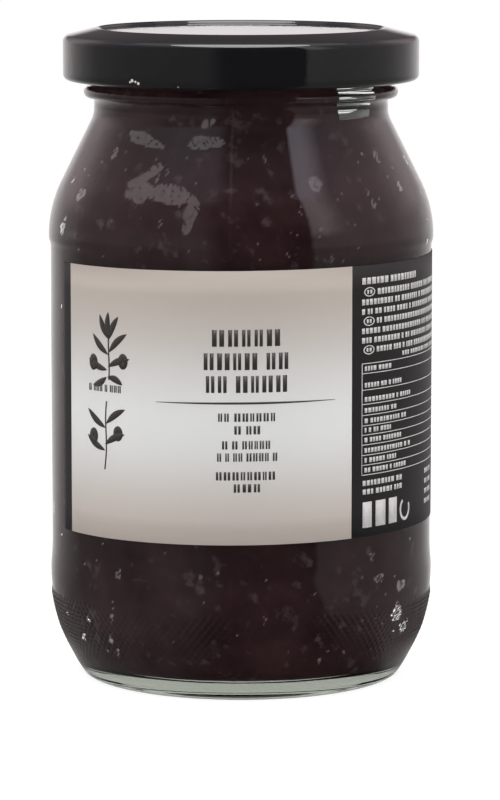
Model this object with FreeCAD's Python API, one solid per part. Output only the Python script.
import FreeCAD, Part
import math
import os

# A twist-off glass jar of olive paste: the glass, its steel lid, the paste and the wrapped label.
# Millimetres, +Z up. The origin is the middle of the ring that the jar stands on, and the label
# faces -Y. Angles round the jar are in degrees from the front, growing towards +X.

# Glass body, from the foot upwards.
FOOT_RISE = 2.6
FOOT_RING_WIDTH = 3.0
FOOT_CORNER_RADIUS = 1.5
HEEL_HEIGHT = 20.0
HEEL_CURVE_RADIUS = 34.4
LOWER_BULGE_HEIGHT = 5.0
LOWER_BULGE_PROUD = 0.25
PANEL_RADIUS = 35.5
PANEL_HEIGHT = 55.6
PANEL_STEP_HEIGHT = 0.6
UPPER_BULGE_HEIGHT = 1.1
UPPER_BULGE_PROUD = 0.35
SHOULDER_CURVE_RADIUS = 23.0
SHOULDER_ANGLE = 26.5
NECK_CURVE_RADIUS = 5.0
NECK_HEIGHT = 1.9

# Inside of the glass.
BODY_WALL = 2.1
FLOOR_HEIGHT = 4.0
FLOOR_CROWN = 1.0
FLOOR_CORNER_RADIUS = 5.0

# Finish: the bead, the threads and the lip that the lid closes on.
FINISH_RADIUS = 28.1
FINISH_WALL = 2.7
FINISH_HEIGHT = 9.5
NECK_DEPTH = 0.8
BEAD_PROUD = 1.1
BEAD_ROUND_RADIUS = 1.1
LIP_ROUND_RADIUS = 0.8
THREAD_COUNT = 4
THREAD_LEAD = 14.0
THREAD_SPAN = 78.0
THREAD_DEPTH = 1.4
THREAD_ROOT_WIDTH = 1.9
THREAD_TIP_WIDTH = 0.9
THREAD_BITE = 0.5
THREAD_END_ABOVE_BEAD = 2.0
FIRST_THREAD_ANGLE = -40.0

# Lid, pressed from tinplate, with a rolled edge, lugs and a ring of sealing compound.
LID_SHEET = 0.22
LID_THREAD_CLEARANCE = 1.3
LID_ABOVE_BEAD = 1.1
LID_CURL_RADIUS = 1.1
LID_CURL_TURN = 250.0
LID_CORNER_RADIUS = 1.3
LID_SLOPE = 14.0
LID_RIM_ABOVE_LIP = 1.5
LID_RIM_ROUND_RADIUS = 0.7
LID_PANEL_CLEARANCE = 0.08
LID_PANEL_CORNER_RADIUS = 0.5
LID_PANEL_WALL_ANGLE = 60.0
COMPOUND_SET_IN = 0.5
COMPOUND_OVERHANG = 0.8
LUG_SPAN = 10.0
LUG_HEIGHT = 1.0
LUG_FINISH_CLEARANCE = 0.3
LUG_THREAD_CLEARANCE = 0.3

# Paste and label.
PASTE_BELOW_LIP = 15.6
PASTE_CLEARANCE = 0.03
LABEL_THICKNESS = 0.1
LABEL_CLEARANCE = 0.02
LABEL_SKEW = 0.57
LABEL_FIRST_ANGLE = -65.7
LABEL_WRAP = 296.0
LABEL_LOWEST_MARGIN = 4.3
LABEL_HIGHEST_MARGIN = 0.08

FRONT = -90.0
AXIS = FreeCAD.Vector(0.0, 0.0, 1.0)
ORIGIN = FreeCAD.Vector(0.0, 0.0, 0.0)


def at(radius, height):
    """A point of an outline, which is drawn in the half plane y = 0."""
    return FreeCAD.Vector(radius, 0.0, height)


def leaning(degrees):
    """The unit vector of the outline's plane that points this many degrees above outwards."""
    angle = math.radians(degrees)
    return at(math.cos(angle), math.sin(angle))


def arc(middle, radius, start, end):
    """An arc of an outline about its middle, from one angle in degrees to another."""
    points = [middle + leaning(angle) * radius for angle in (start, (start + end) / 2.0, end)]
    return Part.Arc(*points).toShape()


def outline(*steps):
    """A closed wire through corner points and arcs, joined by straight lines where they part."""
    edges = []
    ends = [(step, step) if isinstance(step, FreeCAD.Vector) else
            (step.valueAt(step.FirstParameter), step.valueAt(step.LastParameter)) for step in steps]
    for index, step in enumerate(steps):
        if not isinstance(step, FreeCAD.Vector):
            edges.append(step)
        leave = ends[index][1]
        arrive = ends[(index + 1) % len(steps)][0]
        if leave.distanceToPoint(arrive) > 1e-6:
            edges.append(Part.makeLine(leave, arrive))
    return Part.Wire(edges)


def turned(wire, degrees=360.0):
    """The solid that an outline sweeps when it turns about the jar's axis."""
    return Part.Face(wire).revolve(ORIGIN, AXIS, degrees)


def crowned(radius, height, rise):
    """The arc of a shallow dome on the axis, from its top down to its edge."""
    dome = (radius ** 2 + rise ** 2) / (2.0 * rise)
    edge_angle = math.degrees(math.acos(radius / dome))
    return arc(at(0.0, height + rise - dome), dome, 90.0, edge_angle)


def corner_on_curve(curve_middle, curve_radius, corner_radius, floor):
    """The middle of a corner that is tangent to a level floor and to the inside of a curve,
    and the angle at which the curve meets it."""
    drop = curve_middle.z - floor - corner_radius
    reach = math.sqrt((curve_radius - corner_radius) ** 2 - drop ** 2)
    return at(curve_middle.x + reach, floor + corner_radius), -math.degrees(math.atan2(drop, reach))


def panel_bottom():
    return HEEL_HEIGHT + LOWER_BULGE_HEIGHT


def panel_top():
    return panel_bottom() + PANEL_HEIGHT


def mouth_radius():
    return FINISH_RADIUS - FINISH_WALL


def heel_middle():
    return at(PANEL_RADIUS + LOWER_BULGE_PROUD - HEEL_CURVE_RADIUS, HEEL_HEIGHT)


def shoulder_middle():
    shoulder_bottom = panel_top() + PANEL_STEP_HEIGHT + UPPER_BULGE_HEIGHT
    return at(PANEL_RADIUS + UPPER_BULGE_PROUD - SHOULDER_CURVE_RADIUS, shoulder_bottom)


def shoulder(curve_radius, neck_radius):
    """The shoulder's arc and the neck's hollow arc, which a straight cone joins, and the height
    at which the neck turns upright."""
    middle = shoulder_middle()
    normal = leaning(SHOULDER_ANGLE)
    cone = middle + normal * curve_radius
    hollow_radius = neck_radius + NECK_CURVE_RADIUS
    hollow_rise = (NECK_CURVE_RADIUS - (hollow_radius - cone.x) * normal.x) / normal.z
    hollow_middle = at(hollow_radius, cone.z + hollow_rise)
    upward = arc(middle, curve_radius, 0.0, SHOULDER_ANGLE)
    hollow = arc(hollow_middle, NECK_CURVE_RADIUS, 180.0 + SHOULDER_ANGLE, 180.0)
    return upward, hollow, hollow_middle.z


def bead_top():
    neck_bottom = shoulder(SHOULDER_CURVE_RADIUS, FINISH_RADIUS - NECK_DEPTH)[2]
    return neck_bottom + NECK_HEIGHT + 2.0 * BEAD_ROUND_RADIUS


def lip_height():
    return bead_top() + FINISH_HEIGHT


def glass_outside():
    """The glass as if it were solid right through."""
    heel = heel_middle()
    corner, corner_angle = corner_on_curve(heel, HEEL_CURVE_RADIUS, FOOT_CORNER_RADIUS, 0.0)
    neck_radius = FINISH_RADIUS - NECK_DEPTH
    upward, hollow, _ = shoulder(SHOULDER_CURVE_RADIUS, neck_radius)
    bead = at(FINISH_RADIUS + BEAD_PROUD - BEAD_ROUND_RADIUS, bead_top() - BEAD_ROUND_RADIUS)
    lip = at(FINISH_RADIUS - LIP_ROUND_RADIUS, lip_height() - LIP_ROUND_RADIUS)
    wire = outline(
        crowned(corner.x - FOOT_RING_WIDTH, 0.0, FOOT_RISE),
        arc(corner, FOOT_CORNER_RADIUS, -90.0, corner_angle),
        arc(heel, HEEL_CURVE_RADIUS, corner_angle, 0.0),
        at(PANEL_RADIUS + LOWER_BULGE_PROUD, panel_bottom() - PANEL_STEP_HEIGHT),
        at(PANEL_RADIUS, panel_bottom()),
        at(PANEL_RADIUS, panel_top()),
        at(PANEL_RADIUS + UPPER_BULGE_PROUD, panel_top() + PANEL_STEP_HEIGHT),
        upward,
        hollow,
        at(neck_radius, bead.z - BEAD_ROUND_RADIUS),
        arc(bead, BEAD_ROUND_RADIUS, -90.0, 90.0),
        at(FINISH_RADIUS, bead_top()),
        arc(lip, LIP_ROUND_RADIUS, 0.0, 90.0),
        at(0.0, lip_height()),
    )
    return turned(wire)


def glass_inside(clearance):
    """What fills the jar from its floor to its lip, drawn in from the glass by a clearance."""
    bore = PANEL_RADIUS - BODY_WALL - clearance
    mouth = mouth_radius() - clearance
    floor = FLOOR_HEIGHT + clearance
    heel = heel_middle()
    heel_radius = bore - heel.x
    corner_radius = FLOOR_CORNER_RADIUS - clearance
    corner, corner_angle = corner_on_curve(heel, heel_radius, corner_radius, floor)
    curve_radius = bore - shoulder_middle().x
    upward, hollow, _ = shoulder(curve_radius, mouth)
    wire = outline(
        crowned(corner.x, floor, FLOOR_CROWN),
        arc(corner, corner_radius, -90.0, corner_angle),
        arc(heel, heel_radius, corner_angle, 0.0),
        upward,
        hollow,
        at(mouth, lip_height()),
        at(0.0, lip_height()),
    )
    return turned(wire)


def thread(angle):
    """One raised thread, whose low end stands at this angle and which climbs towards +X."""
    rise = THREAD_LEAD * THREAD_SPAN / 360.0
    path = Part.makeHelix(THREAD_LEAD, rise, FINISH_RADIUS)
    root = FINISH_RADIUS - THREAD_BITE
    tip = FINISH_RADIUS + THREAD_DEPTH
    section = outline(
        at(root, -THREAD_ROOT_WIDTH / 2.0),
        at(FINISH_RADIUS, -THREAD_ROOT_WIDTH / 2.0),
        at(tip, -THREAD_TIP_WIDTH / 2.0),
        at(tip, THREAD_TIP_WIDTH / 2.0),
        at(FINISH_RADIUS, THREAD_ROOT_WIDTH / 2.0),
        at(root, THREAD_ROOT_WIDTH / 2.0),
    )
    ridge = Part.Wire(path).makePipeShell([section], True, True)
    ridge.translate(at(0.0, bead_top() + THREAD_END_ABOVE_BEAD))
    ridge.rotate(ORIGIN, AXIS, FRONT + angle)
    return ridge


def jar_glass():
    glass = glass_outside().cut(glass_inside(0.0))
    spacing = 360.0 / THREAD_COUNT
    threads = [thread(FIRST_THREAD_ANGLE + spacing * index) for index in range(THREAD_COUNT)]
    return glass.fuse(threads)


def lid_radius():
    return FINISH_RADIUS + THREAD_DEPTH + LID_THREAD_CLEARANCE + 2.0 * LID_CURL_RADIUS


def lid_panel_top():
    return lip_height() + LID_PANEL_CLEARANCE + LID_SHEET


def curl_middle():
    return at(lid_radius() - LID_CURL_RADIUS, bead_top() + LID_ABOVE_BEAD + LID_CURL_RADIUS)


def lid_body(inset):
    """The solid under the lid's skin, drawn in from its outer face by an inset."""
    slope_angle = 90.0 - LID_SLOPE
    wall_angle = 90.0 + LID_PANEL_WALL_ANGLE
    slope = leaning(slope_angle)
    wall = leaning(wall_angle)
    rim_radius = FINISH_RADIUS - FINISH_WALL / 2.0
    rim = at(rim_radius, lip_height() + LID_RIM_ABOVE_LIP - LID_RIM_ROUND_RADIUS)
    corner_x = lid_radius() - LID_CORNER_RADIUS
    step = LID_RIM_ROUND_RADIUS - LID_CORNER_RADIUS
    corner = at(corner_x, (rim.dot(slope) + step - corner_x * slope.x) / slope.z)
    panel_z = lid_panel_top() + LID_PANEL_CORNER_RADIUS
    reach = rim.dot(wall) + LID_RIM_ROUND_RADIUS + LID_PANEL_CORNER_RADIUS
    panel = at((reach - panel_z * wall.z) / wall.x, panel_z)
    wire = outline(
        at(0.0, curl_middle().z),
        at(lid_radius() - inset, curl_middle().z),
        arc(corner, LID_CORNER_RADIUS - inset, 0.0, slope_angle),
        arc(rim, LID_RIM_ROUND_RADIUS - inset, slope_angle, wall_angle),
        arc(panel, LID_PANEL_CORNER_RADIUS + inset, wall_angle + 180.0, 270.0),
        at(0.0, lid_panel_top() - inset),
    )
    return turned(wire)


def curl():
    """The skirt's lower edge, rolled inwards."""
    outer = arc(curl_middle(), LID_CURL_RADIUS, 0.0, -LID_CURL_TURN)
    inner = arc(curl_middle(), LID_CURL_RADIUS - LID_SHEET, -LID_CURL_TURN, 0.0)
    return turned(outline(outer, inner))


def compound():
    """The sealing ring, poured into the channel of the lid that closes on the lip."""
    inner = mouth_radius() + COMPOUND_SET_IN
    outer = FINISH_RADIUS + COMPOUND_OVERHANG
    wire = outline(
        at(inner, lip_height()),
        at(outer, lip_height()),
        at(outer, lip_height() + LID_RIM_ABOVE_LIP),
        at(inner, lip_height() + LID_RIM_ABOVE_LIP),
    )
    return turned(wire).common(lid_body(0.0))


def lug_top():
    return curl_middle().z + LUG_HEIGHT / 2.0


def lug(angle):
    """A tongue of the rolled edge that reaches under one thread's low end."""
    inner = FINISH_RADIUS + LUG_FINISH_CLEARANCE
    outer = lid_radius() - 2.0 * LID_CURL_RADIUS + LID_SHEET / 2.0
    wire = outline(
        at(inner, lug_top() - LUG_HEIGHT),
        at(outer, lug_top() - LUG_HEIGHT),
        at(outer, lug_top()),
        at(inner, lug_top()),
    )
    tongue = turned(wire, LUG_SPAN)
    tongue.rotate(ORIGIN, AXIS, FRONT + angle)
    return tongue


def lug_angle():
    """How far past a thread's low end its underside clears the lug by the stated clearance."""
    thread_low = bead_top() + THREAD_END_ABOVE_BEAD - THREAD_ROOT_WIDTH / 2.0
    climb = lug_top() + LUG_THREAD_CLEARANCE - thread_low
    return climb * 360.0 / THREAD_LEAD


def lid():
    skin = lid_body(0.0).cut(lid_body(LID_SHEET))
    spacing = 360.0 / THREAD_COUNT
    first = FIRST_THREAD_ANGLE + lug_angle()
    lugs = [lug(first + spacing * index) for index in range(THREAD_COUNT)]
    return skin.fuse([compound(), curl()] + lugs)


def olive_paste():
    level = lip_height() - PASTE_BELOW_LIP
    return glass_inside(PASTE_CLEARANCE).common(Part.makeCylinder(PANEL_RADIUS, level))


def label():
    """A flat rectangle of film wrapped round the panel, a little out of level, with its lowest
    and highest corners inside the panel."""
    inner = PANEL_RADIUS + LABEL_CLEARANCE
    lead = 2.0 * math.pi * inner * math.tan(math.radians(LABEL_SKEW))
    rise = lead * LABEL_WRAP / 360.0
    height = PANEL_HEIGHT - LABEL_LOWEST_MARGIN - LABEL_HIGHEST_MARGIN - rise
    path = Part.makeHelix(lead, rise, inner)
    section = outline(
        at(inner, 0.0),
        at(inner + LABEL_THICKNESS, 0.0),
        at(inner + LABEL_THICKNESS, height),
        at(inner, height),
    )
    film = Part.Wire(path).makePipeShell([section], True, True)
    film.translate(at(0.0, panel_bottom() + LABEL_LOWEST_MARGIN))
    film.rotate(ORIGIN, AXIS, FRONT + LABEL_FIRST_ANGLE)
    return film


os.makedirs("parts", exist_ok=True)
for build in (jar_glass, lid, olive_paste, label):
    shape = build()
    shape.exportStep(f"parts/{build.__name__}.step")
    print(build.__name__, shape.isValid(), len(shape.Solids), round(shape.Volume, 1))
